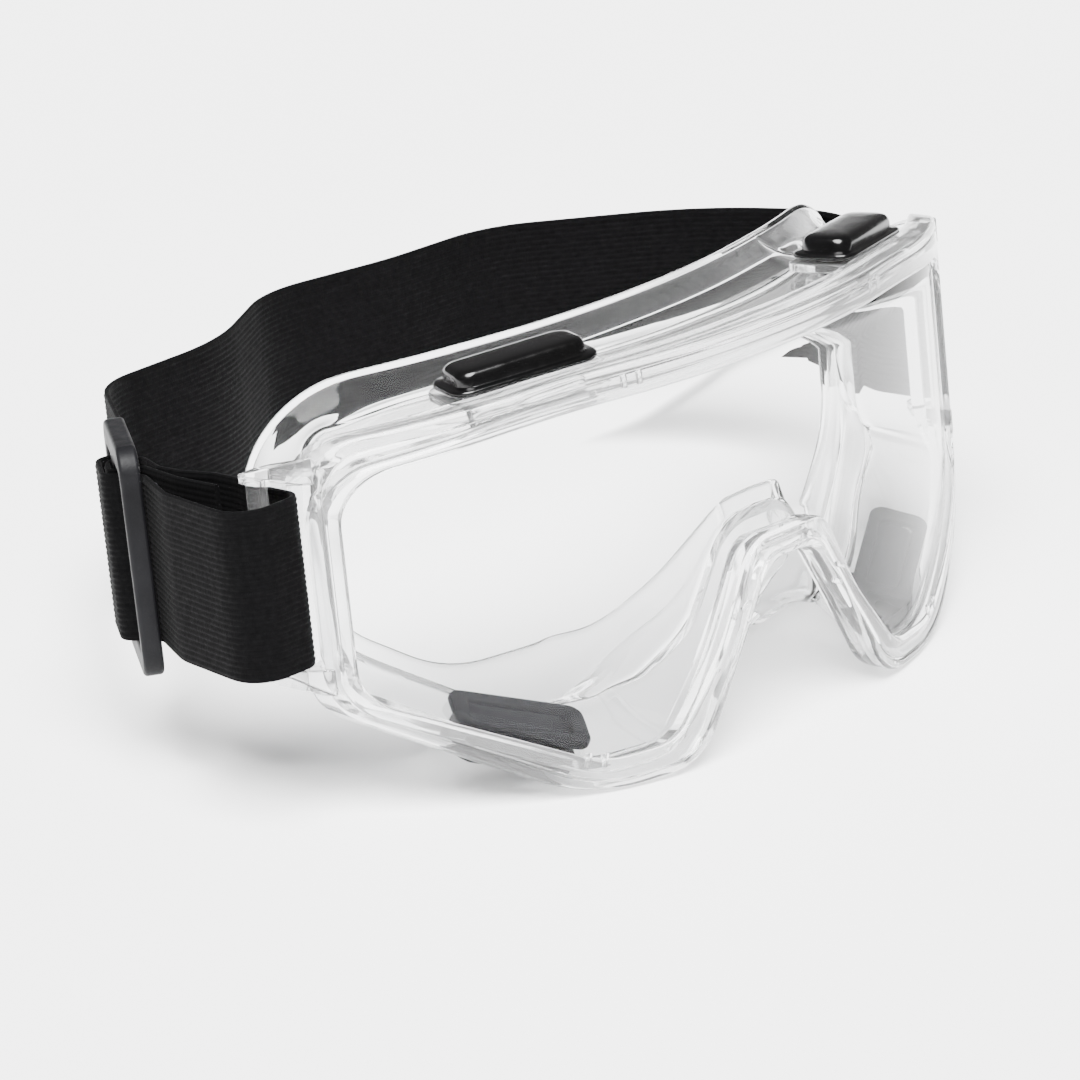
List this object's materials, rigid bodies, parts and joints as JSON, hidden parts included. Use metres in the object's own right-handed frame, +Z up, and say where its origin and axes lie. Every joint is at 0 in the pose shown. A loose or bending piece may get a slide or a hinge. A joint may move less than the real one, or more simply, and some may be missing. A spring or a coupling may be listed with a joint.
{
  "type": "safety goggles",
  "caption": "Safety goggles: a clear curved lens in a translucent moulded frame with a soft face skirt, capped indirect vents and a black elastic head strap with a slider.",
  "frame": {"origin": "on the surface the goggles stand on, under the middle of the whole object's box", "axes": "+X to the wearer's left, +Y from the lens towards the wearer's head and the strap, +Z up"},
  "size_m": [0.1951, 0.1398, 0.0769],
  "materials": {
    "clear_pvc": "glossy translucent PVC",
    "soft_pvc": "soft milky translucent PVC",
    "lens_sheet": "clear polished polycarbonate",
    "vent_grey": "satin",
    "vent_black": "glossy",
    "webbing": "ribbed woven elastic",
    "slider_black": "satin",
    "thread": "polyester thread"
  },
  "bodies": {
    "goggles": {"goggle_frame": "clear_pvc", "face_skirt": "soft_pvc", "lens": "lens_sheet", "strap_ear_right": "clear_pvc", "strap_ear_left": "clear_pvc", "top_vent_seat_right": "vent_grey", "top_vent_cap_right": "vent_black", "top_vent_seat_left": "vent_grey", "top_vent_cap_left": "vent_black", "lower_vent_seat_right": "vent_grey", "lower_vent_cap_right": "vent_black", "lower_vent_seat_left": "vent_grey", "lower_vent_cap_left": "vent_black"},
    "strap": {"strap_band": "webbing", "strap_lead": "webbing", "strap_outer_layer": "webbing", "strap_ear_loop": "webbing", "strap_return_layer": "webbing", "stitching_left": "thread"},
    "slider_group": {"slider": "slider_black", "strap_wrap": "webbing", "strap_end_loop": "webbing", "stitching_right": "thread"}
  },
  "joints": [
    {"name": "strap_swing", "type": "hinge", "parent": "goggles", "child": "strap", "pos_m": [0, -0.02497, 0.04223], "axis": [1, 0, 0], "range_deg": [-5, 5]},
    {"name": "slider_slide", "type": "slide", "parent": "strap", "child": "slider_group", "axis": [0.6, 0.7926, -0.1086], "range_m": [0, 0.022], "deforming": ["strap_lead", "strap_outer_layer", "strap_return_layer"]}
  ]
}
